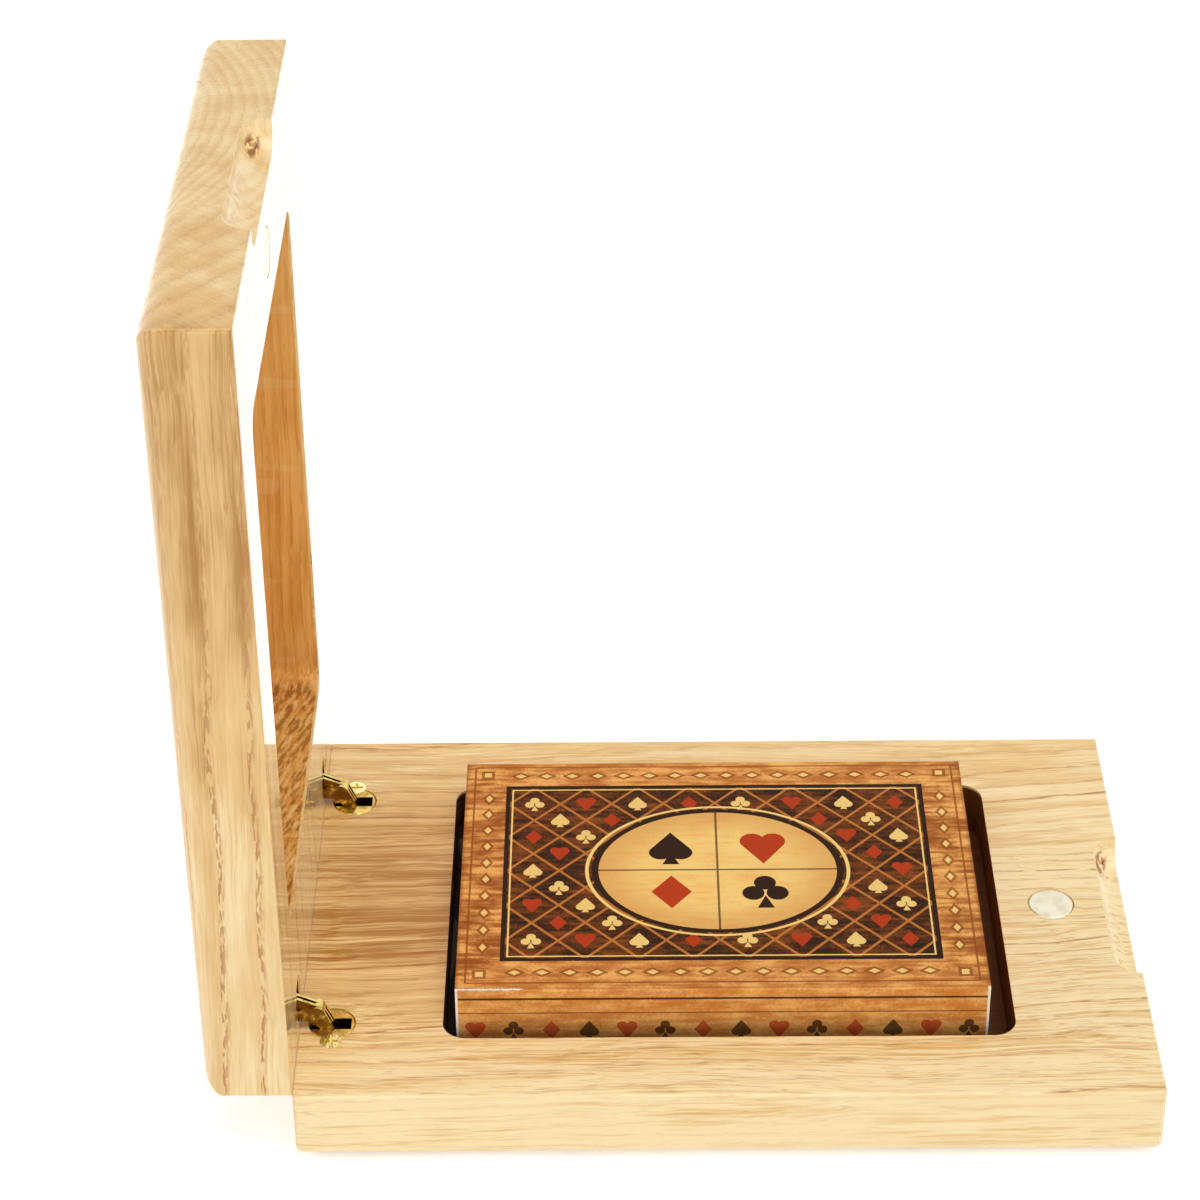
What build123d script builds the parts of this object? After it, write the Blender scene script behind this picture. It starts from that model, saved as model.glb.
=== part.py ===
from build123d import *
import os
from math import acos, atan2, cos, degrees, radians, sin, sqrt

# A solid oak case for one deck of playing cards: two equal halves, hollowed out,
# hung on a pair of brass barrel hinges and held shut by a pair of magnets.
# It stands open, with the boxed deck lying in the lower half.
# Millimetres. The origin is the middle of the underside, +X points from the hinges
# to the finger notch, +Z up. Y is the width, and "near" is the -Y side.

# The deck, and the folded carton that fits round it
card_length = 88.0
card_width = 63.0
card_corner = 3.5
deck_height = 16.2
carton_board = 0.5
card_end_play = 0.8
card_side_play = 0.3
card_top_play = 0.3
fold_gap = 0.05
carton_corner = 0.7
tongue_length = 13.0
tongue_corner = 6.0
dust_flap_length = 18.0
dust_flap_slope = 4.0

# The pocket in each half, with room round the carton
rear_gap = 2.3
front_gap = 4.7
side_gap = 3.1
floor_gap = 0.1
head_room = 2.0
pocket_corner = 4.0

# The wood left round the pocket, and the worked edges
rear_wall = 24.3
front_wall = 23.3
side_wall = 14.6
floor_thickness = 4.5
outer_round = 4.2
parting_ease = 0.4
hinge_edge_ease = 0.1
corner_ease = 0.8
closing_gap = 0.1
axis_inset = 0.07
open_angle = 90.0

# The finger notch, a round cove along the parting edge at the front
notch_length = 38.5
notch_radius = 4.7

# The magnets, one in the front wall of each half
magnet_radius = 4.1
magnet_height = 3.0
magnet_chamfer = 0.3
magnet_inset = 13.9
magnet_clearance = 0.04

# The barrels of the hinges, let into the wood flush with the parting face
hinge_inset = 5.5
hinge_side = 18.6
barrel_radius = 4.0
barrel_length = 10.5
barrel_rim = 0.75
barrel_chamfer = 0.3
barrel_clearance = 0.03
flush_drop = 0.05
slot_depth = 7.0

# The crossed link plates: their pivots, the knee where they cross and their sliding tips
slot_back_gap = 0.5
slot_end_gap = 0.15
pivot_drop = 1.7
tip_reach = 5.5
pivot_end_radius = 0.8
knee_radius = 1.5
tip_radius = 0.7
plate_thickness = 0.5
plate_gap = 0.04
plate_side_gap = 0.07
base_plate_count = 2
lid_plate_count = 3

# The pins that the plates turn on
pin_radius = 0.45
pin_seat = 0.9
pin_seat_clearance = 0.02
pivot_clearance = 0.05
knee_play = 0.42

# The locking screws, sunk half into each barrel's side
screw_stand = 0.45
screw_head_radius = 1.85
screw_head_height = 1.0
screw_head_edge = 0.15
screw_shank_radius = 1.0
screw_length = 8.0
screw_clearance = 0.04
cross_length = 2.3
cross_width = 0.5
cross_depth = 0.6

# One overrun serves every cut that leaves through a face
overrun = 1.0

# Round and square blanks stand on their place or hang from it
standing = (Align.CENTER, Align.CENTER, Align.MIN)
hanging = (Align.CENTER, Align.CENTER, Align.MAX)

# Sizes that follow from the deck outwards
carton_length = card_length + card_end_play + 3 * carton_board + 2 * fold_gap
carton_width = card_width + 2 * card_side_play + 2 * carton_board
carton_height = deck_height + card_top_play + 3 * carton_board
pocket_length = rear_gap + carton_length + front_gap
pocket_width = carton_width + 2 * side_gap
pocket_depth = (carton_height + head_room) / 2
case_length = rear_wall + pocket_length + front_wall
case_width = pocket_width + 2 * side_wall
half_thickness = floor_thickness + pocket_depth

rear_x = -case_length / 2
axis_x = rear_x + axis_inset
front_x = case_length / 2
pocket_x = rear_x + rear_wall + pocket_length / 2
magnet_x = front_x - magnet_inset
barrel_x = rear_x + hinge_inset
hinge_y = case_width / 2 - hinge_side
flush_z = half_thickness - flush_drop
carton_x = rear_x + rear_wall + rear_gap + carton_length / 2
carton_z = floor_thickness + floor_gap

# The hinge axis runs just inside the rear edge, midway in the closing gap, so that no light shows
# between the halves when they stand open. The lid's half of every pair is the base's half mirrored
# in the plane that bisects the opening angle.
axis_z = half_thickness + closing_gap / 2
half_angle = radians(open_angle / 2)
bisector = Plane(origin=(axis_x, 0, axis_z), z_dir=(-sin(half_angle), 0, cos(half_angle)))

# The plates lie in every second layer of a stack that fills the barrels' slots
plate_count = base_plate_count + lid_plate_count
plate_pitch = plate_thickness + plate_gap
stack_width = plate_count * plate_thickness + (plate_count - 1) * plate_gap
slot_width = stack_width + 2 * plate_side_gap

# Places across a hinge, measured from the hinge axis. Shut, a plate's knee and tip lie along
# the slot's end. The knee stays on the bisector, at its arm's length.
barrel_reach = hinge_inset - axis_inset
pivot_at = (barrel_reach - barrel_radius + slot_back_gap + pivot_end_radius, -pivot_drop)
knee_shut = barrel_reach + barrel_radius - barrel_rim - slot_end_gap - knee_radius
pivot_reach = pivot_at[0] * cos(half_angle) + pivot_at[1] * sin(half_angle)
arm_surplus = knee_shut * (knee_shut - 2 * pivot_at[0])
knee_reach = pivot_reach + sqrt(pivot_reach**2 + arm_surplus)
knee_at = (knee_reach * cos(half_angle), knee_reach * sin(half_angle))

# The lid turns its own plates back, and the base's plates along, by nearly this constant share
arm_open = degrees(atan2(knee_at[1] - pivot_at[1], knee_at[0] - pivot_at[0]))
arm_shut = degrees(atan2(pivot_drop, knee_shut - pivot_at[0]))
link_turn_share = (arm_open - arm_shut) / open_angle
tip_shut = degrees(acos((knee_radius - tip_radius) / tip_reach))
tip_open = radians(tip_shut + link_turn_share * open_angle)
tip_at = (knee_at[0] + tip_reach * cos(tip_open), knee_at[1] + tip_reach * sin(tip_open))


def in_lid(piece):
    return mirror(piece, about=bisector)


# Wooden halves


def worked_section(width, first_ease):
    """Cross-section of a half: rounded over below, only eased at the parting face."""
    section = Rectangle(width, half_thickness, align=(Align.CENTER, Align.MIN))
    section = fillet(section.vertices().group_by(Axis.Y)[0], outer_round)
    for corner, ease in ((0, first_ease), (-1, parting_ease)):
        arris = section.vertices().group_by(Axis.Y)[-1].sort_by(Axis.X)[corner]
        section = fillet(arris, ease)
    return section


def board_blank():
    """The worked board: the rounded edges meet in mitres at the eased corners. The edge that the
    hinges turn about stays crisp, so that the two halves meet there when the case stands open."""
    lengthwise = extrude(Plane.XZ * worked_section(case_length, hinge_edge_ease), case_width / 2, both=True)
    crosswise = extrude(Plane.YZ * worked_section(case_width, parting_ease), case_length / 2, both=True)
    outline = extrude(RectangleRounded(case_length, case_width, corner_ease), half_thickness)
    return lengthwise & crosswise & outline


def pocket_cut():
    outline = RectangleRounded(pocket_length, pocket_width, pocket_corner)
    return extrude(Pos(pocket_x, 0, floor_thickness) * outline, pocket_depth + overrun)


def notch_cut():
    """A cylinder with ball ends, lying along the front parting edge."""
    straight = notch_length - 2 * notch_radius
    cut = Rot(X=90) * Cylinder(notch_radius, straight)
    for side in (-1, 1):
        cut += Pos(0, side * straight / 2, 0) * Sphere(notch_radius)
    return Pos(front_x, 0, half_thickness) * cut


def magnet_cut():
    depth = magnet_height + flush_drop + magnet_clearance
    cut = Cylinder(magnet_radius + magnet_clearance, depth + overrun, align=standing)
    return Pos(magnet_x, 0, half_thickness - depth) * cut


def barrel_cut(side):
    depth = barrel_length + flush_drop + barrel_clearance
    cut = Cylinder(barrel_radius + barrel_clearance, depth + overrun, align=standing)
    return Pos(barrel_x, side * hinge_y, half_thickness - depth) * cut


def base_board():
    board = board_blank() - pocket_cut() - notch_cut() - magnet_cut()
    for side in (-1, 1):
        board -= barrel_cut(side)
        board -= screw_space(side)
    return board


# Magnets


def base_magnet():
    disc = Cylinder(magnet_radius, magnet_height, align=hanging)
    rims = disc.edges().filter_by(GeomType.CIRCLE)
    return Pos(magnet_x, 0, flush_z) * chamfer(rims, magnet_chamfer)


# Hinges


def screw_profile(swell):
    """Half-section of a countersunk screw below its flat head, grown by a clearance."""
    head = screw_head_radius + swell
    shank = screw_shank_radius + swell
    neck = -screw_head_height - swell
    return Polyline(
        (0, 0),
        (head, 0),
        (head, -screw_head_edge),
        (shank, neck),
        (shank, -screw_length - swell),
        (0, -screw_length - swell),
        close=True,
    )


def at_screw(side):
    return Pos(barrel_x, side * (hinge_y + barrel_radius + screw_stand), flush_z)


def screw_space(side):
    body = revolve(Plane.XZ * make_face(screw_profile(screw_clearance)), Axis.Z)
    mouth = Cylinder(screw_head_radius + screw_clearance, overrun, align=standing)
    return at_screw(side) * (body + mouth)


def base_screw(side):
    screw = revolve(Plane.XZ * make_face(screw_profile(0)), Axis.Z)
    for turn in (0, 90):
        screw -= Rot(Z=turn) * Box(cross_length, cross_width, 2 * cross_depth)
    return at_screw(side) * screw


def hinge_plane(side):
    """Plane across a hinge, measured from the hinge axis."""
    return Plane(origin=(axis_x, side * hinge_y, axis_z), x_dir=(1, 0, 0), z_dir=(0, -1, 0))


def pin(side, place, radius, length):
    return extrude(hinge_plane(side) * Pos(*place) * Circle(radius), length / 2, both=True)


def base_barrel(side):
    """Slotted towards the rear edge, so that the plates can fold into it."""
    barrel = Cylinder(barrel_radius, barrel_length, align=hanging)
    barrel = chamfer(barrel.edges().filter_by(GeomType.CIRCLE), barrel_chamfer)
    slot = Pos(barrel_radius - barrel_rim, 0, 0) * Box(
        2 * barrel_radius, slot_width, 2 * slot_depth, align=(Align.MAX, Align.CENTER, Align.CENTER)
    )
    barrel = Pos(barrel_x, side * hinge_y, flush_z) * (barrel - slot)
    barrel -= screw_space(side)
    seat_length = base_pin_length() + 2 * pin_seat_clearance
    return barrel - pin(side, pivot_at, pin_radius + pin_seat_clearance, seat_length)


def base_pin_length():
    return slot_width + 2 * pin_seat


def base_pin(side):
    return pin(side, pivot_at, pin_radius, base_pin_length())


def link_outline(knee_hole):
    """A cranked plate: round pivot end, broad knee and a tip that slides in the other slot."""
    knee = Pos(*knee_at) * Circle(knee_radius)
    pivot_arm = make_hull((Pos(*pivot_at) * Circle(pivot_end_radius)).edges() + knee.edges())
    tip_arm = make_hull((Pos(*tip_at) * Circle(tip_radius)).edges() + knee.edges())
    outline = pivot_arm + tip_arm
    outline -= Pos(*pivot_at) * Circle(pin_radius + pivot_clearance)
    return outline - Pos(*knee_at) * Circle(knee_hole)


def link_plates(side, count, knee_hole):
    """Every second layer of the stack, spread evenly about the middle of the slot."""
    plates = []
    for layer in range(count):
        offset = (2 * layer - (count - 1)) * plate_pitch
        place = hinge_plane(side) * Pos(0, 0, offset)
        plates.append(extrude(place * link_outline(knee_hole), plate_thickness / 2, both=True))
    return Compound(plates)


def base_links(side):
    return link_plates(side, base_plate_count, pin_radius + knee_play)


def lid_links(side):
    return in_lid(link_plates(side, lid_plate_count, pin_radius + pin_seat_clearance))


def centre_pin(side):
    return pin(side, knee_at, pin_radius, stack_width)


# Boxed deck


def carton_blank(length, width, height):
    """A block with its four long edges softly folded."""
    block = Box(length, width, height, align=standing)
    return fillet(block.edges().filter_by(Axis.X), carton_corner)


def carton_body():
    """The sleeve and its glued end, open towards the hinges."""
    shell = carton_blank(carton_length, carton_width, carton_height)
    inner_width = carton_width - 2 * carton_board
    inner_height = carton_height - 2 * carton_board
    inner = Box(carton_length, inner_width, inner_height, align=standing)
    return Pos(carton_x, 0, carton_z) * (shell - Pos(-carton_board, 0, carton_board) * inner)


def carton_tuck_flap():
    """The end panel, folded over, with a round-cornered tongue under the top panel."""
    width = carton_width - 2 * carton_board - 2 * fold_gap
    end_x = carton_x - carton_length / 2
    floor_z = carton_z + carton_board + fold_gap
    top_z = carton_z + carton_height - carton_board - fold_gap
    panel = Box(carton_board, width, top_z - floor_z, align=(Align.MIN, Align.CENTER, Align.MIN))
    tongue = Rectangle(tongue_length, width, align=(Align.MIN, Align.CENTER))
    tongue = fillet(tongue.vertices().group_by(Axis.X)[-1], tongue_corner)
    tongue = extrude(tongue, -carton_board)
    return Pos(end_x, 0, floor_z) * panel + Pos(end_x, 0, top_z) * tongue


def carton_dust_flaps():
    """Two side flaps folded in behind the end panel, cut back at a slope."""
    height = carton_height - 3 * carton_board - 4 * fold_gap
    start_y = carton_width / 2 - carton_board - fold_gap
    floor_z = carton_z + carton_board + 2 * fold_gap
    end_x = carton_x - carton_length / 2 + carton_board + fold_gap
    corners = [
        (0, 0),
        (dust_flap_length, dust_flap_slope),
        (dust_flap_length, height - dust_flap_slope),
        (0, height),
    ]
    plane = Plane(origin=(end_x, -start_y, floor_z), x_dir=(0, 1, 0), z_dir=(1, 0, 0))
    flap = extrude(plane * make_face(Polyline(*corners, close=True)), carton_board)
    return Compound([flap, mirror(flap, about=Plane.XZ)])


def card_deck():
    """The squared-up stack, pushed against the glued end."""
    end_x = carton_x + carton_length / 2 - carton_board - fold_gap
    outline = RectangleRounded(card_length, card_width, card_corner, align=(Align.MAX, Align.CENTER))
    return Pos(end_x, 0, carton_z + carton_board + fold_gap) * extrude(outline, deck_height)


pieces = {
    "base_board": base_board(),
    "base_magnet": base_magnet(),
    "carton_body": carton_body(),
    "carton_tuck_flap": carton_tuck_flap(),
    "carton_dust_flaps": carton_dust_flaps(),
    "card_deck": card_deck(),
}
pieces["lid_board"] = in_lid(pieces["base_board"])
pieces["lid_magnet"] = in_lid(pieces["base_magnet"])
for end, side in (("near", -1), ("far", 1)):
    pieces[f"{end}_base_barrel"] = base_barrel(side)
    pieces[f"{end}_base_screw"] = base_screw(side)
    pieces[f"{end}_base_pin"] = base_pin(side)
    for fitting in ("barrel", "screw", "pin"):
        pieces[f"{end}_lid_{fitting}"] = in_lid(pieces[f"{end}_base_{fitting}"])
    pieces[f"{end}_base_links"] = base_links(side)
    pieces[f"{end}_lid_links"] = lid_links(side)
    pieces[f"{end}_centre_pin"] = centre_pin(side)

os.makedirs("parts", exist_ok=True)
for name, piece in pieces.items():
    export_step(piece, f"parts/{name}.step")

print(f"case {case_length:.2f} x {case_width:.2f} x {2 * half_thickness + closing_gap:.2f} shut")
print(f"hinge axis x {axis_x:.3f} z {axis_z:.3f}, links turn {link_turn_share:.4f} of the lid's angle")
print(f"base pivots x {axis_x + pivot_at[0]:.3f} z {axis_z + pivot_at[1]:.3f}")
print(f"lid pivots x {axis_x + pivot_at[1]:.3f} z {axis_z + pivot_at[0]:.3f}")
print(f"carton slides -{rear_gap:.2f} to +{front_gap:.2f}")
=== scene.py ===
import bmesh
import bpy
from collections import namedtuple
from math import cos, radians, sin
from mathutils import Matrix, Vector


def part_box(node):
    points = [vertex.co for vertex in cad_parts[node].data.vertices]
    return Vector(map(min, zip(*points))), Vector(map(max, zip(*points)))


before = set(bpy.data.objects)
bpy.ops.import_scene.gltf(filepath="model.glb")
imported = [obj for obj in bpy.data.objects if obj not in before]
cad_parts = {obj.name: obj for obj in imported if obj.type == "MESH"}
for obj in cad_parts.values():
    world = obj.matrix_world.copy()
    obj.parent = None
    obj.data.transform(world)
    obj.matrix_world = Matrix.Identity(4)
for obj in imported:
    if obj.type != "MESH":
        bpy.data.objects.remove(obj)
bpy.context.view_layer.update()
bpy.context.scene.view_settings.view_transform = "Standard"


# Base half
# A solid oak board, edge-glued from two staves, with a routed pocket, rounded over outside
# and finished with a thin satin lacquer. The grain runs from the hinges to the finger notch.

def colour(code):
    """A hex colour as the linear values that a shader takes."""
    parts = [int(code[i:i + 2], 16) / 255 for i in (0, 2, 4)]
    return [c / 12.92 if c <= 0.04045 else ((c + 0.055) / 1.055) ** 2.4 for c in parts] + [1]


class Value:
    """A number that varies over a surface, written in ordinary sums and read from a node."""

    def __init__(self, finish, socket):
        self.finish = finish
        self.socket = socket

    def math(self, operation, *others):
        step = self.finish.node("Math", operation=operation)
        for place, other in enumerate((self, *others)):
            self.finish.feed(step.inputs[place], other)
        return Value(self.finish, step.outputs[0])

    def __add__(self, other):
        return self.math("ADD", other)

    def __sub__(self, other):
        return self.math("SUBTRACT", other)

    def __rsub__(self, other):
        return self.math("MULTIPLY_ADD", -1, other)

    def __mul__(self, other):
        return self.math("MULTIPLY", other)

    def __truediv__(self, other):
        return self.math("DIVIDE", other)

    __radd__ = __add__
    __rmul__ = __mul__

    def size(self):
        """The number without its sign."""
        return self.math("ABSOLUTE")

    def ramp(self, low, high):
        """A smooth step from 0 at low to 1 at high."""
        step = self.finish.node("MapRange", interpolation_type="SMOOTHSTEP")
        for name, value in (("Value", self), ("From Min", low), ("From Max", high)):
            self.finish.feed(step.inputs[name], value)
        return Value(self.finish, step.outputs[0])

    def between(self, low, high, soft):
        """A band that is 1 from low to high and fades out over a soft edge."""
        return self.ramp(low - soft, low) * (1 - self.ramp(high, high + soft))


class Finish:
    """A node material in the making: one shader, and the patterns that feed it."""

    def __init__(self, name, **settings):
        self.material = bpy.data.materials.new(name)
        self.material.use_nodes = True
        self.tree = self.material.node_tree
        self.shader = self.tree.nodes["Principled BSDF"]
        for socket, value in settings.items():
            self.shader.inputs[socket.replace("_", " ")].default_value = value
        place = self.node("TexCoord")
        self.spot = self.split(place.outputs["Object"])
        self.facing = self.split(place.outputs["Normal"])

    def node(self, kind, **settings):
        made = self.tree.nodes.new("ShaderNode" + kind)
        for name, value in settings.items():
            setattr(made, name, value)
        return made

    def feed(self, socket, value):
        if isinstance(value, Value):
            self.tree.links.new(value.socket, socket)
        else:
            socket.default_value = value

    def split(self, vector):
        parts = self.node("SeparateXYZ")
        self.tree.links.new(vector, parts.inputs[0])
        return [Value(self, part) for part in parts.outputs]

    def noise(self, x, y, z, detail=2.0, rough=0.5):
        """Cloudy noise, whose features are about one unit of x, y and z across."""
        vector = self.node("CombineXYZ")
        for place, value in enumerate((x, y, z)):
            self.feed(vector.inputs[place], value)
        texture = self.node("TexNoise")
        self.tree.links.new(vector.outputs[0], texture.inputs["Vector"])
        for name, value in (("Scale", 1.0), ("Detail", detail), ("Roughness", rough)):
            texture.inputs[name].default_value = value
        return Value(self, texture.outputs[0])

    def chance(self, number):
        """A throw between 0 and 1, the same each time for the same number."""
        throw = self.node("TexWhiteNoise", noise_dimensions="1D")
        self.feed(throw.inputs["W"], number)
        return Value(self, throw.outputs[0])

    def mix(self, share, under, over, way="MIX"):
        """The colour under, covered by the colour over where share is 1, or toned by it."""
        step = self.node("Mix", data_type="RGBA", blend_type=way)
        for place, value in ((0, share), (6, under), (7, over)):
            self.feed(step.inputs[place], value)
        return Value(self, step.outputs[2])

    def bump(self, height, depth):
        """Raises the surface by depth metres where height is 1."""
        step = self.node("Bump")
        step.inputs["Distance"].default_value = depth
        self.feed(step.inputs["Height"], height)
        self.tree.links.new(step.outputs[0], self.shader.inputs["Normal"])

    def paint(self, **patterns):
        for socket, value in patterns.items():
            self.feed(self.shader.inputs[socket.replace("_", " ")], value)

    def dress(self, *nodes):
        for node in nodes:
            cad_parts[node].material_slots[0].material = self.material


mm = 0.001
base_low, base_high = [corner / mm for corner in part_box("base_board")]
board_length = base_high.x - base_low.x
pocket_rear, pocket_front, pocket_side, pocket_depth, pocket_brim = 24.3, 121.7, 35.4, 10, 0.6
notch_radius, notch_side = 4.7, 19.25
torn_middle, torn_reach = (board_length - 3.0, 15.2, 3.0), (1.8, 4.4, 1.8)
oak_pale, oak_mid, oak_dark = colour("F9E1AC"), colour("E6BD7A"), colour("AE7416")
oak_pore, oak_torn, oak_split = colour("A65C0C"), colour("7A4402"), colour("BC8228")
end_tone, chatter_tone = colour("ECE6D6"), colour("F3DDB0")
Stave = namedtuple("Stave", "pith_across pith_down ring_width depth figured")
Patch = namedtuple("Patch", "along across reach_along reach_across darker")


def routed_pocket(along, across, down):
    """1 on the bare walls and floor of the pocket, below its lacquered brim."""
    slack, fade, brim_fade = 0.2, 0.1, 0.25
    side = pocket_side + slack
    inside = along.between(pocket_rear - slack, pocket_front + slack, fade)
    inside = inside * (1 - across.size().ramp(side, side + fade))
    return inside * down.between(pocket_brim, pocket_depth + slack + fade, brim_fade)


def finger_notch(along, across, down):
    """1 in the cove for the fingers, a round groove with ball ends."""
    slack, fade = 0.04, 0.05
    from_front = along - board_length
    past = (across.size() - (notch_side - notch_radius)).math("MAXIMUM", 0)
    reach = (from_front * from_front + down * down + past * past).math("SQRT")
    return 1 - reach.ramp(notch_radius + slack, notch_radius + slack + fade)


def cutter_marks(wood, place, end, routed, tones, paint):
    """The paint with the pocket's tone, the bare wood's own colour with painted shade on it, which goes
    from the first of tones at the hinge end to the second at the front, the cutter's faint chatter and the
    specks that it tore from end grain."""
    along, across, down = place
    change_from, change_to = 60, 118
    tone = wood.mix(along.ramp(change_from, change_to), *tones)
    # painted shade in the pocket, over the bare wood's own tone
    paint = wood.mix(routed, paint, tone, "MULTIPLY")
    chatter = wood.noise(along * 0.35, across * 0.05, down * 0.05, detail=0).ramp(0.7, 0.73)
    paint = wood.mix(chatter * routed * (1 - end) * 0.1, paint, chatter_tone, "SCREEN")
    slant, row = across * 0.34 - down * 0.1, across * 0.32 + down * 1.2
    speck = wood.noise(slant, row, along * 0.3, detail=2, rough=0.55)
    paint = wood.mix(speck.ramp(0.48, 0.6) * routed * end * 0.65, paint, oak_torn)
    return wood.mix((1 - speck.ramp(0.32, 0.44)) * routed * end * 0.5, paint, tone)


def torn_grain(wood, place, paint):
    """The paint with the splinters that the cutter left at the notch's far end, and where they are."""
    along, across, down = place
    off = [(spot - middle) / reach for spot, middle, reach in zip(place, torn_middle, torn_reach)]
    torn = 1 - sum(side * side for side in off).math("SQRT").ramp(0.4, 1.0)
    fleck = wood.noise(along * 0.8, across * 0.5 + 5.3, down * 0.8, detail=2, rough=0.55)
    chip = torn * fleck.ramp(0.52, 0.57)
    paint = wood.mix(torn * fleck.between(0.33, 0.42, 0.03) * 0.8, paint, oak_pale)
    paint = wood.mix(torn * fleck.ramp(0.44, 0.5) * 0.85, paint, oak_split)
    return wood.mix(chip * 0.95, paint, oak_torn), chip


def oak(name, measure, grain_axis, seed, joint, staves, patches_and_shade, bent, streaked, gloss, pocket_tones_and_shade):
    """Lacquered oak. measure turns a place into millimetres from the hinge edge, across the half
    and down from the parting face, and grain_axis is the axis that the grain follows. Each stave
    has its pith, its ring width, its own depth of tone and how strongly its fibres show, and the
    two meet at joint. Some patches are the wood's own tone, and some are painted shade and painted
    light. Each patch has its middle and its reach, along and across, and how much darker or paler it
    is. bent is how far the grain sways, streaked how open the pores are on the long sides, gloss how
    thick the lacquer lies on the parting face, and pocket_tones_and_shade the tones of the pocket's bare
    wood with painted shade on it, at its hinge end and at its front end."""
    wood = Finish(name, Coat_Roughness=0.05, Coat_IOR=1.5, Specular_IOR_Level=0.3)
    place = measure(*[spot / mm for spot in wood.spot])
    along, across, down = place
    end = wood.facing[grain_axis].size().ramp(0.6, 0.9)
    flank = wood.facing[1].size().ramp(0.5, 0.9)
    calm = 1 - flank * 0.4
    routed, scooped = routed_pocket(*place), finger_notch(*place)

    # the staves meet in a glue line, and each comes from its own length of the tree
    glue_line, stave_apart = 0.05, 310
    far = across.ramp(joint - glue_line, joint + glue_line)
    pith_across, pith_down, ring_width, depth, figured = [far * (b - a) + a for a, b in zip(*staves)]
    start = along + far * stave_apart + seed

    def clouds(length, width, thick, detail, rough=0.5, shift=0):
        """Noise in clouds of so many millimetres along the grain, across it and down into the board."""
        return wood.noise(start / length, across / width + shift, down / thick, detail, rough)

    # the grain sways along the board in long bends and short waves, and the tree tapers
    wander, taper = 2.4, 0.027
    sway = clouds(length=80, width=50, thick=50, detail=1) - 0.5
    wave = clouds(length=30, width=16, thick=16, detail=2.5, rough=0.55) - 0.5
    lean = clouds(length=28, width=14, thick=14, detail=2, shift=7.7) - 0.5
    lane_across = across + sway * bent + wave * wander
    lane_down = down + lean * wander + along * taper

    # yearly rings, each with a band of open pores on its inside
    reach_across, reach_down = lane_across - pith_across, lane_down - pith_down
    reach = (reach_across * reach_across + reach_down * reach_down).math("SQRT")
    ring = reach / ring_width
    year = ring.math("FRACT")
    bold = wood.chance(ring.math("FLOOR") + seed).ramp(0.3, 0.9)
    early = 1 - year.ramp(0.04, 0.24)
    spring = early * (bold * 0.7 + 0.3)
    summer = year.ramp(0.4, 0.95)

    def strands(length, per_mm, detail, rough=0.5):
        """Noise drawn out along the grain, so many millimetres long and so many to a millimetre."""
        return wood.noise(start / length, lane_across * per_mm, lane_down * per_mm, detail, rough)

    # fibres and threads are drawn out along the grain, and rays cross the rings on the ends
    fibre = strands(length=32, per_mm=1.8, detail=4, rough=0.6)
    fine = strands(length=9, per_mm=4.8, detail=2)
    level = strands(length=55, per_mm=0.8, detail=1.5) - 0.5
    thread = 1 - level.size().ramp(0.008, 0.04)
    ray_turn = reach_across.math("ARCTAN2", reach_down) * 130
    ray = wood.noise(ray_turn, reach / 5, down / 30, detail=2)
    figure = clouds(length=50, width=16, thick=16, detail=1).ramp(0.38, 0.6)

    # pores are short dashes on the faces, rows of pits on the long sides, which close up towards
    # the notch, and dots on the ends
    dash = strands(length=5, per_mm=3.2, detail=1)
    pit = strands(length=2.4, per_mm=2.4, detail=1.5)
    closed = along.ramp(50, 120) * 0.6
    pores = dash.ramp(0.63, 0.67) * figured * (1 - flank * 0.7) * 0.4
    pores = pores + dash.ramp(0.42, 0.5) * spring * (1 - flank) * (1 - end)
    pores = pores + pit.ramp(0.46, 0.54) * early * flank * streaked * (1 - closed)
    pores = pores + pit.ramp(0.44, 0.6) * (1 - year.ramp(0.1, 0.5)) * end * 0.24
    pores = pores * (1 - scooped * 0.7) * (1 - routed * 0.6)

    # broad tones, and patches: some that the tree left, some of painted shade and painted light
    tone = clouds(length=90, width=7, thick=7, detail=2)
    mottle = clouds(length=15, width=6, thick=4, detail=2.5) - 0.5
    drawn = figured * (1 - end) * calm
    bands = (tone - 0.5) * calm * 0.8 + mottle * flank * 0.7
    bands = bands + (fine - 0.5) * calm * 0.45 + (ray - 0.5) * end * 0.36
    bands = bands + (fibre - 0.5) * ((figure * 1.3 + 1.0) * drawn + end * figured * 0.4 + routed * 0.9)
    bands = bands + thread * figure * drawn * 0.3 + summer * 0.14 + depth
    bands = bands + spring * 0.12 + (1 - year.ramp(0.1, 0.6)) * end * 0.07 + (tone - 0.5) * routed * 0.9
    for patch in patches_and_shade:
        off_along = (along - patch.along) / patch.reach_along
        off_across = (across - patch.across) / patch.reach_across
        off = (off_along * off_along + off_across * off_across).math("SQRT")
        bands = bands + (1 - off.ramp(0.15, 1)) * patch.darker

    # the wood's own colours, what the cutter left, and a brown line of painted shadow where the halves meet
    # at the hinges
    paint = wood.mix(bands.ramp(-0.05, 0.5), oak_pale, oak_mid)
    paint = wood.mix(bands.ramp(0.4, 1.05), paint, oak_dark)
    paint = wood.mix(pores.math("MINIMUM", 1) * 0.78, paint, oak_pore)
    paint = wood.mix(end * (1 - scooped), paint, end_tone, "MULTIPLY")
    paint = cutter_marks(wood, place, end, routed, pocket_tones_and_shade, paint)
    # painted shadow: a thin brown line along the hinge edge, in the joint between the two halves
    seam_shadow = 1 - along.math("MAXIMUM", down).ramp(0.05, 0.2)
    paint = wood.mix(seam_shadow * 0.4, paint, oak_pore)
    paint, chip = torn_grain(wood, place, paint)

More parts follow.
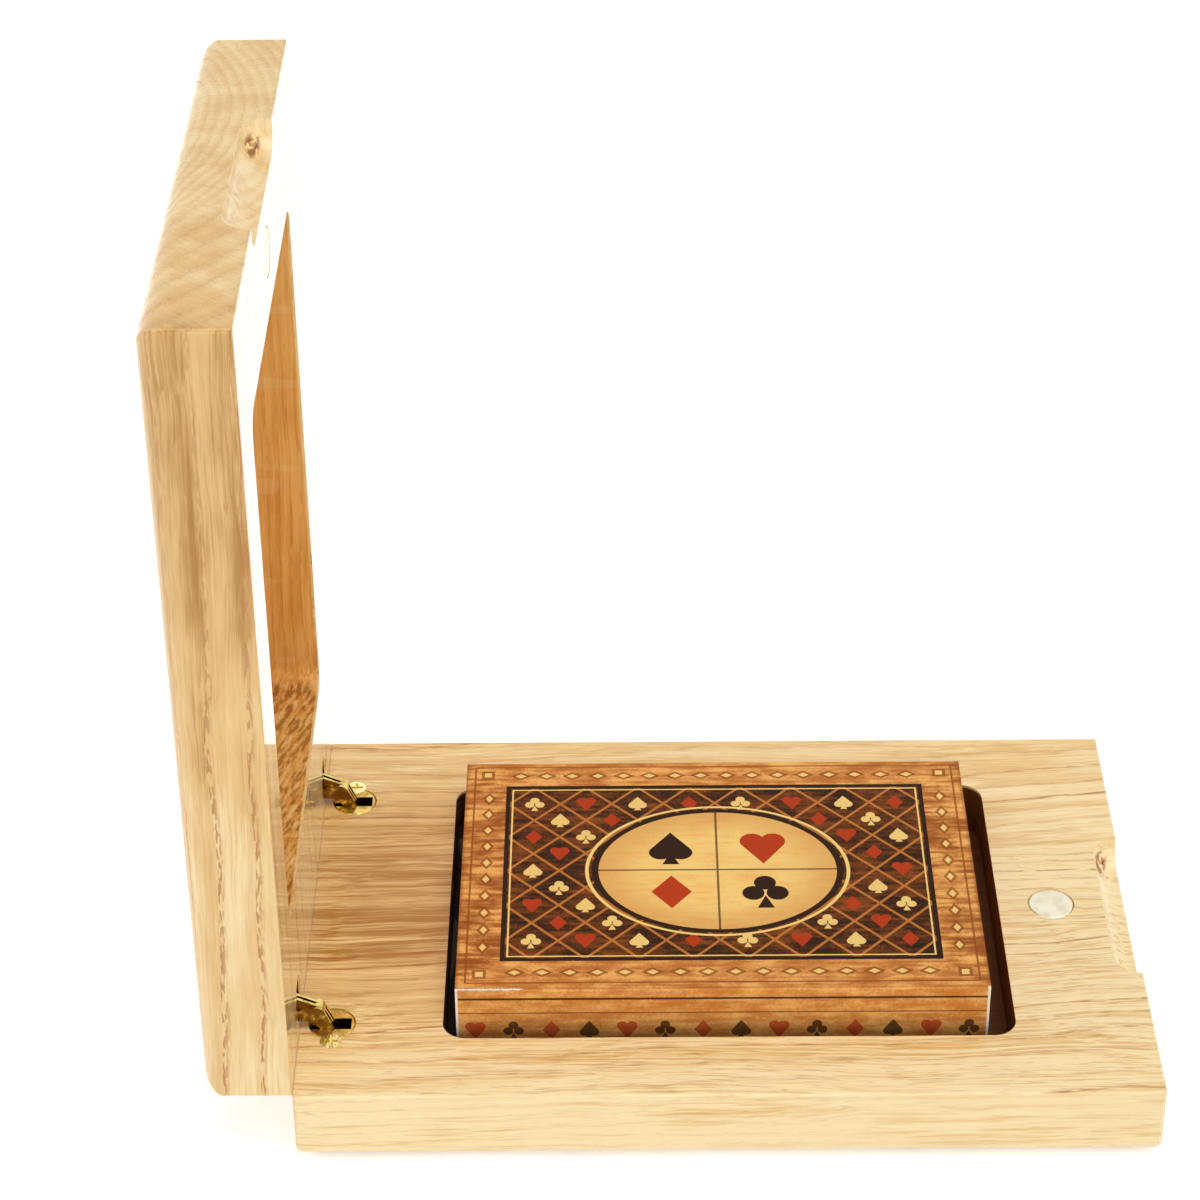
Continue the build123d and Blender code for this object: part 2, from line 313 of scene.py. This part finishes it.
    # lacquer lies on all but the pocket
    side_gloss = 0.5
    parted = 1 - down.ramp(0.02, 0.1)
    wood.paint(Base_Color=paint, Coat_Weight=(1 - routed) * (parted * (gloss - side_gloss) + side_gloss),
               Roughness=pores * 0.12 + (fibre - 0.5) * 0.1 + routed * 0.35 + 0.32)
    wood.bump(fibre * 0.3 - pores * (1 - end) - chip * 6, 0.015 * mm)
    return wood


base_oak = oak(
    "base_oak", lambda x, y, z: (x - base_low.x, y, base_high.z - z), grain_axis=0, seed=0, joint=14,
    staves=(Stave(pith_across=-74, pith_down=66, ring_width=2.1, depth=0.13, figured=0.9),
            Stave(pith_across=66, pith_down=-58, ring_width=1.9, depth=0.2, figured=0.55)),
    # the first patch is darker wood and painted shade, where the standing lid shades the base by the hinges
    patches_and_shade=(Patch(along=15, across=1, reach_along=38, reach_across=46, darker=0.57),
             Patch(along=150, across=0, reach_along=60, reach_across=60, darker=-0.2),
             # the third patch is painted light, paler along the near side where the floor throws light up
             Patch(along=72, across=-61, reach_along=220, reach_across=22, darker=-0.2),
             Patch(along=60, across=50, reach_along=120, reach_across=20, darker=0.13)),
    # the base's pocket is painted dark as shade in the deep gaps round the carton, darkest at the hinge end
    bent=9, streaked=0.15, gloss=0.4, pocket_tones_and_shade=(colour("34220E"), colour("633E14")))
base_oak.dress("base_board")


# Lid half
# The same oak board turned over, hung behind the base so that it stands open at a right angle.
# Its staves come from another part of the tree, so the rings on its end run another way.

lid_low, lid_high = [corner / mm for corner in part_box("lid_board")]
lid_oak = oak(
    "lid_oak", lambda x, y, z: (z - lid_low.z, y, lid_high.x - x), grain_axis=2, seed=1700, joint=-11,
    staves=(Stave(pith_across=29, pith_down=81, ring_width=4.4, depth=0.22, figured=0.5),
            Stave(pith_across=20, pith_down=62, ring_width=1.9, depth=0.16, figured=0.5)),
    # the first patch is painted shade, darker high on the near side; the second painted light, paler at the
    # foot
    patches_and_shade=(Patch(along=118, across=-62, reach_along=90, reach_across=26, darker=0.6),
             Patch(along=12, across=0, reach_along=34, reach_across=46, darker=-0.26)),
    # the lid's pocket is a little darker and oranger: bare wood with some painted shade
    bent=4, streaked=0.9, gloss=0.95, pocket_tones_and_shade=(colour("EED09C"), colour("F0D4A4")))
lid_oak.dress("lid_board")


# Magnets
# Two nickel-plated discs, pressed flush into the front walls so that they meet when it shuts.
# The plating is satin, with the faint rubbing marks that the other disc leaves.

nickel_bright, nickel_rubbed = colour("EFE7CF"), colour("DCD3B8")
nickel = Finish("satin_nickel", Metallic=1.0)
x, y, z = [spot / mm for spot in nickel.spot]
rubbing = nickel.noise(x / 3, y / 3, z / 3, detail=3, rough=0.5)
scratch = nickel.noise(x * 0.8, y * 9, z * 0.8, detail=3)
nickel.paint(Base_Color=nickel.mix(rubbing.ramp(0.4, 0.7), nickel_bright, nickel_rubbed),
             Roughness=rubbing * 0.1 + scratch * 0.08 + 0.24)
nickel.bump(scratch, 0.002 * mm)
nickel.dress("base_magnet", "lid_magnet")


# Hinge barrels and pins
# Turned brass barrels, slotted across, knocked into drilled holes flush with the wood. The pins
# that the plates turn on sit across each slot. The faces that look along the hinge line, the slot walls
# among them, are painted brown: partly tarnish, partly a painted dark reflection.

brass_dull, brass_tarnish_and_dark_reflection = colour("AE8028"), colour("6A4510")
hinge_ends = ("near", "far")


def brass(name, bright, wear, shine, browned, marks, uneven):
    """Yellow brass, dulled in patches. bright is its clean colour and wear how much of it is clean,
    shine how smooth it is, browned how far the faces that look along the hinge line are painted brown,
    as tarnish where they rub and as a painted dark reflection, marks how many tool marks there are to a
    millimetre and uneven their depth."""
    metal = Finish(name, Metallic=1.0)
    x, y, z = [spot / mm for spot in metal.spot]
    patch = metal.noise(x * 0.5, y * 0.5, z * 0.5, detail=4, rough=0.6)
    turning = metal.noise(x * marks, y * marks, z * marks, detail=2)
    rubbing = metal.facing[1].size().ramp(0.5, 0.9) * patch.ramp(0.25, 0.5)
    paint = metal.mix(patch.ramp(wear - 0.15, wear + 0.2), colour(bright), brass_dull)
    # faces along the hinge line painted brown: tarnish and a painted dark reflection
    metal.paint(Base_Color=metal.mix(rubbing * browned, paint, brass_tarnish_and_dark_reflection),
                Roughness=patch * 0.15 + turning * 0.08 + shine)
    metal.bump(turning, uneven)
    return metal


barrel_brass = brass("barrel_brass", "F4D47A", wear=0.5, shine=0.12, browned=0.95,
                     marks=6, uneven=0.004 * mm)
for end in hinge_ends:
    barrel_brass.dress(f"{end}_base_barrel", f"{end}_lid_barrel", f"{end}_base_pin", f"{end}_lid_pin")


# Hinge plates
# Stacks of thin cranked brass plates that cross on a centre pin and fold into both barrels.
# They are stamped and tumbled, so they are brighter than the barrels but not polished.

plate_brass = brass("plate_brass", "F6DC88", wear=0.54, shine=0.1, browned=0.9,
                    marks=6, uneven=0.003 * mm)
for end in hinge_ends:
    plate_brass.dress(f"{end}_base_links", f"{end}_lid_links", f"{end}_centre_pin")


# Locking screws
# Small cross-head brass screws, sunk half into each barrel's side to keep it from turning.
# Their heads are bright from the screwdriver, which has left them uneven.

screw_brass = brass("screw_brass", "FFF2AC", wear=0.85, shine=0.08, browned=0.3,
                    marks=1.3, uneven=0.12 * mm)
for end in hinge_ends:
    screw_brass.dress(f"{end}_base_screw", f"{end}_lid_screw")


# Card deck
# A squared-up stack of coated cards, closed away in its carton. The edges of the cards show as
# fine lines, a little darker where the coating is cut.

card_white, card_edge = colour("F1EEE6"), colour("CFC9BC")
card_pitch = 0.3
cards = Finish("card_paper", Roughness=0.45)
x, y, z = [spot / mm for spot in cards.spot]
cut = (z / card_pitch).math("FRACT").between(0.3, 0.6, 0.2)
grain = cards.noise(x * 2, y * 2, z * 2, detail=3)
side = 1 - cards.facing[2].size().ramp(0.5, 0.9)
cards.paint(Base_Color=cards.mix(cut * side * 0.8 + grain * 0.1, card_white, card_edge))
cards.bump(cut * side * -1 + grain * 0.2, 0.03 * mm)
cards.dress("card_deck")


# Carton
# A tuck carton of white board, printed in browns and gold with card suits in a lattice round a
# medallion, under a matt varnish. White board shows where the folds and cut edges have rubbed.

carton_low, carton_high = [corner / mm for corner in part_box("carton_body")]
carton_middle, carton_half_length = (carton_low.x + carton_high.x) / 2, (carton_high.x - carton_low.x) / 2
carton_half_width, carton_height = carton_high.y, carton_high.z - carton_low.z
ink_umber, ink_walnut, ink_chestnut = colour("301A0A"), colour("924F20"), colour("CE803C")
ink_tan, ink_gold, ink_red = colour("F6BA6A"), colour("FAD480"), colour("BA3E1C")
board_white = colour("F4EFE2")
crisp = 0.05


def under(a, b):
    """Two shapes joined into one. A shape is below 0 inside its outline."""
    return a.math("MINIMUM", b)


def within(a, b):
    """The part that two shapes share."""
    return a.math("MAXIMUM", b)


def disc(x, y, radius):
    return x * x + y * y - radius * radius


def diamond(x, y):
    """A suit reaches from -1 to 1, and its proportions are shares of that."""
    return x.size() * 1.3 + y.size() - 1


def heart(x, y):
    side = x.size()
    point = within(side * 1.443 - y - 1, y - 0.16)
    return under(disc(side - 0.4, y - 0.42, 0.48), point)


def stem(x, y):
    """The foot of a black suit, a narrow wedge that widens downwards."""
    return within(x.size() * 2.3 + y + 0.25, y * -1 - 1)


def spade(x, y):
    return under(heart(x * 1.05, y * -1.12 + 0.12), stem(x, y))


def club(x, y):
    leaves = under(disc(x, y - 0.52, 0.42), disc(x.size() - 0.46, y + 0.1, 0.42))
    return under(leaves, stem(x, y))


def inked(shape):
    return shape.math("LESS_THAN", 0)


def cell_of(place, size):
    """Repeats a measure in cells of one size: the number of the cell and the place from its middle."""
    count = place / size
    return count.math("FLOOR"), (count.math("FRACT") - 0.5) * size


suits = (spade, heart, club, diamond)


def in_turn(number, turn):
    """1 in the cells whose number falls on that turn of the four suits."""
    return number.math("FLOORED_MODULO", len(suits)).between(turn - 0.4, turn + 0.4, 0.05)


carton = Finish("printed_carton", Specular_IOR_Level=0.06)
x, y, z = [spot / mm for spot in carton.spot]
u, v, height = x - carton_middle, y, z - carton_low.z
speck = carton.noise(x * 2.4, y * 2.4, z * 2.4, detail=3, rough=0.6)
cloud = carton.noise(x / 6, y / 4, z / 4, detail=4, rough=0.6)
streak = carton.noise(x / 8, y * 1.1, z * 1.1, detail=3)
mottle = (cloud - 0.5) * 1.1 + (speck - 0.5) * 0.6 + (streak - 0.5) * 0.9 + 0.5

# the field, a lattice with a suit in each cell that lies whole between the medallion and the border
lattice_u, lattice_v, pip, pip_room = 9.31, 9.74, 2.0, 2.6
medallion_u, medallion_v, border = 21.5, 17.0, 7.9
a, b = u / lattice_u + v / lattice_v, u / lattice_u - v / lattice_v
(row_a, from_a), (row_b, from_b) = cell_of(a, 1), cell_of(b, 1)
lines = from_a.size().math("MAXIMUM", from_b.size()).ramp(0.455, 0.47)
pip_x, pip_y = (from_a + from_b) * (lattice_u / 2 / pip), (from_a - from_b) * (lattice_v / 2 / pip)
cell_u, cell_v = u - pip_x * pip, v - pip_y * pip
whole_u = cell_u.size().math("LESS_THAN", carton_half_length - border - pip_room)
whole_v = cell_v.size().math("LESS_THAN", carton_half_width - border - pip_room)
cell_round = disc(cell_u / (medallion_u + pip_room), cell_v / (medallion_v + pip_room), 1)
whole = whole_u * whole_v * cell_round.math("GREATER_THAN", 0)
field = carton.mix(mottle.ramp(0.28, 0.95), ink_umber, ink_walnut)
field = carton.mix(lines * 0.8, field, ink_chestnut)
for turn, (suit, ink) in enumerate(zip(suits, (ink_gold, ink_red, ink_gold, ink_red))):
    here = in_turn(row_a + row_b * 2, turn) * whole
    field = carton.mix(inked(suit(pip_x, pip_y)) * here * 0.92, field, ink)

# the medallion in the middle, quartered, with one large suit in each quarter
suit_size, quarter_u, quarter_v = 4.6, 8.2, 6.2
cross_line, dark_rim, gold_rim, rim_soft = (0.15, 0.25), (0.98, 1.03), (1.06, 1.085), 0.005
round_u, round_v = u / medallion_u, v / medallion_v
reach = (round_u * round_u + round_v * round_v).math("SQRT")
face = carton.mix(mottle.ramp(0.3, 1.0), ink_gold, ink_tan)
face = carton.mix(reach.ramp(0.5, 1.0) * 0.5, face, ink_chestnut)
cross = u.size().math("MINIMUM", v.size())
face = carton.mix((1 - cross.ramp(*cross_line)) * 0.8, face, ink_umber)
for suit, sign_u, sign_v, ink in ((spade, -1, 1, ink_umber), (heart, 1, 1, ink_red),
                                  (diamond, -1, -1, ink_red), (club, 1, -1, ink_umber)):
    shape = suit((u - quarter_u * sign_u) / suit_size, (v - quarter_v * sign_v) / suit_size)
    face = carton.mix(inked(shape), face, ink)
picture = carton.mix(reach.ramp(0.99, 1.0), face, field)
picture = carton.mix(reach.between(*dark_rim, rim_soft), picture, ink_umber)
picture = carton.mix(reach.between(*gold_rim, rim_soft), picture, ink_gold)

# the border, a streaky tan band, browner at the ends, between dark lines with a chain of lozenges
link, lozenge_slope, lozenge_shift, lozenge_size, lozenge_rim = 4.7, 0.62, 0.4, 0.65, 1.2
outer_line = (1.5, 1.8)
inner_line, gold_line = (border - 0.5, border + 0.25), (border + 0.6, border + 0.85)
from_end, from_side = carton_half_length - u.size(), carton_half_width - v.size()
edge = from_end.math("MINIMUM", from_side)
at_end = from_end.math("LESS_THAN", from_side)
chain_u, chain_v = cell_of(u, link)[1], cell_of(v, link)[1]
chain = chain_u + at_end * (chain_v - chain_u)
lozenge = chain.size() * lozenge_slope + (edge - border / 2 - lozenge_shift).size()
corner = from_end.math("MAXIMUM", from_side) - border
stud = (from_end - border / 2).size().math("MAXIMUM", (from_side - border / 2).size())
lozenge = lozenge + corner.math("LESS_THAN", 0) * (stud - lozenge)
band = carton.mix(mottle.ramp(0.1, 0.75), ink_tan, ink_chestnut)
browned = (streak * 0.6 + cloud * 0.6).ramp(0.48, 0.78)
band = carton.mix(browned * (at_end * 0.5 + 0.42), band, ink_walnut)
band = carton.mix(lozenge.math("LESS_THAN", lozenge_rim) * 0.8, band, ink_walnut)
band = carton.mix(lozenge.math("LESS_THAN", lozenge_size) * 0.9, band, ink_gold)
band = carton.mix(edge.between(*outer_line, crisp) * 0.85, band, ink_walnut)
top = carton.mix(edge.ramp(border - crisp, border + crisp), band, picture)
top = carton.mix(edge.between(*inner_line, crisp), top, ink_umber)
top = carton.mix(edge.between(*gold_line, crisp), top, ink_gold)

# the sides, with a row of suits along the middle between thin and thick lines
step, side_pip, thin_line, thick_line = 6.45, 2.0, (3.6, 3.85), (6.6, 7.0)
number, side_u = cell_of(u, step)
from_middle = height - carton_height / 2
flank = carton.mix(mottle.ramp(0.1, 0.75), ink_tan, ink_chestnut)
for turn, (suit, ink) in enumerate(zip(suits, (ink_umber, ink_red, ink_umber, ink_red))):
    shape = suit(side_u / side_pip, from_middle / side_pip)
    flank = carton.mix(inked(shape) * in_turn(number, turn) * 0.85, flank, ink)
flank = carton.mix(from_middle.size().between(*thin_line, crisp) * 0.85, flank, ink_walnut)
flank = carton.mix(from_middle.size().between(*thick_line, crisp) * 0.9, flank, ink_umber)

# white board at the cut end of the sleeve, and where the near fold and its corners have rubbed
rubbed_length = 11
rear, near = -carton_half_length, -carton_half_width
lying = carton.facing[2].size().ramp(0.65, 0.75)
paint = carton.mix(lying, flank, top)
paint = carton.mix((1 - edge.ramp(0.1, 0.7)) * lying * 0.55, paint, ink_walnut)
rear_cut = carton.facing[0].size().ramp(0.8, 0.9) * (1 - u.ramp(rear + 0.2, rear + 0.6))
near_fold = (v - near).math("MAXIMUM", carton_height - height) + (speck - 0.5) * 0.3
rubbed_fold = 1 - near_fold.ramp(0.22, 0.36)
rubbed_fold = rubbed_fold * (1 - u.ramp(rear + rubbed_length, rear + rubbed_length + 0.6))
rubbed_corner = u.size().ramp(carton_half_length - 0.5, carton_half_length - 0.3)
rubbed_corner = rubbed_corner * (1 - v.ramp(near + 0.2, near + 0.4))
bare = rear_cut.math("MAXIMUM", rubbed_fold).math("MAXIMUM", rubbed_corner) * speck.ramp(0.2, 0.4)
paint = carton.mix(bare, paint, board_white)
carton.paint(Base_Color=paint, Roughness=speck * 0.18 + cloud * 0.1 + 0.3)
carton.bump(speck * 0.6 + cloud, 0.03 * mm)
carton.dress("carton_body", "carton_tuck_flap", "carton_dust_flaps")


# Floor
# A plain sheet of white paper that the case stands on, wide enough to fill the picture behind it.
# It glows where it is seen, straight or in a reflection, and keeps the shadow of the case.

floor_reach, floor_glow, paper_white = 3.0, 0.45, (0.9, 0.9, 0.9, 1)
sheet_mesh = bmesh.new()
bmesh.ops.create_grid(sheet_mesh, x_segments=1, y_segments=1, size=floor_reach)
floor_mesh = bpy.data.meshes.new("floor")
sheet_mesh.to_mesh(floor_mesh)
sheet_mesh.free()
floor = bpy.data.objects.new("floor", floor_mesh)
bpy.context.scene.collection.objects.link(floor)


def where_seen(tree):
    """1 for rays that show a thing as it is, and 0 for those that only carry its light."""
    path = tree.nodes.new("ShaderNodeLightPath")
    seen = path.outputs["Is Camera Ray"]
    for kind in ("Is Glossy Ray", "Is Transmission Ray"):
        either = tree.nodes.new("ShaderNodeMath")
        either.operation = "MAXIMUM"
        tree.links.new(seen, either.inputs[0])
        tree.links.new(path.outputs[kind], either.inputs[1])
        seen = either.outputs[0]
    return seen


paper = bpy.data.materials.new("floor_paper")
paper.use_nodes = True
sheet = paper.node_tree.nodes["Principled BSDF"]
sheet.inputs["Base Color"].default_value = paper_white
sheet.inputs["Roughness"].default_value = 0.9
sheet.inputs["Specular IOR Level"].default_value = 0.0
sheet.inputs["Emission Color"].default_value = (1, 1, 1, 1)
glow = paper.node_tree.nodes.new("ShaderNodeMath")
glow.operation = "MULTIPLY"
glow.inputs[1].default_value = floor_glow
paper.node_tree.links.new(where_seen(paper.node_tree), glow.inputs[0])
paper.node_tree.links.new(glow.outputs[0], sheet.inputs["Emission Strength"])
floor_mesh.materials.append(paper)


# Light
# A white room all round, a broad soft lamp above, and small ones to both sides and low in front.
# The room is white where it is seen, and lights the case at a lower level.

room_level = 0.35
world = bpy.data.worlds.new("white_room")
world.use_nodes = True
room = world.node_tree.nodes["Background"]
room.inputs["Color"].default_value = (1, 1, 1, 1)
level = world.node_tree.nodes.new("ShaderNodeMapRange")
level.inputs["To Min"].default_value = room_level
level.inputs["To Max"].default_value = 1.0
world.node_tree.links.new(where_seen(world.node_tree), level.inputs["Value"])
world.node_tree.links.new(level.outputs[0], room.inputs["Strength"])
bpy.context.scene.world = world


def soft_lamp(name, place, aim, size, power):
    lamp = bpy.data.lights.new(name, "AREA")
    lamp.size = size
    lamp.energy = power
    holder = bpy.data.objects.new(name, lamp)
    holder.location = place
    holder.rotation_euler = (Vector(aim) - Vector(place)).to_track_quat("-Z", "Y").to_euler()
    bpy.context.scene.collection.objects.link(holder)


soft_lamp("lamp_above", place=(0.7, -0.45, 2.8), aim=(0, 0, 0), size=2.5, power=51.5)
soft_lamp("lamp_left", place=(-1.2, 0.15, 0.8), aim=(-0.05, 0, 0.07), size=0.9, power=7.6)
soft_lamp("lamp_right", place=(0.9, -0.1, 0.2), aim=(-0.07, 0, 0.05), size=0.5, power=0.9)
soft_lamp("lamp_front", place=(0.05, -0.6, 0.15), aim=(0, 0, 0.03), size=0.45, power=1.0)


# Camera
# Stands in front of the near side and looks down on the open case, as the photograph does,
# turned and tipped by a fraction of a degree.

image_width, focal_pixels = 1200, 3404.3
camera_place = Vector((-0.01746, -0.47448, 0.39410))
pitch, yaw, roll = radians(33.52), radians(-0.42), radians(-0.6073)
forward = Vector((sin(yaw) * cos(pitch), cos(yaw) * cos(pitch), -sin(pitch)))
level_right = forward.cross(Vector((0, 0, 1))).normalized()
level_up = level_right.cross(forward)
right = level_right * cos(roll) + level_up * sin(roll)
up = level_up * cos(roll) - level_right * sin(roll)
lens = bpy.data.cameras.new("camera")
lens.sensor_width = 36
lens.lens = focal_pixels / image_width * lens.sensor_width
lens.clip_start = 0.01
camera = bpy.data.objects.new("camera", lens)
camera.matrix_world = Matrix.Translation(camera_place) @ Matrix((right, up, -forward)).transposed().to_4x4()
bpy.context.scene.collection.objects.link(camera)
bpy.context.scene.camera = camera
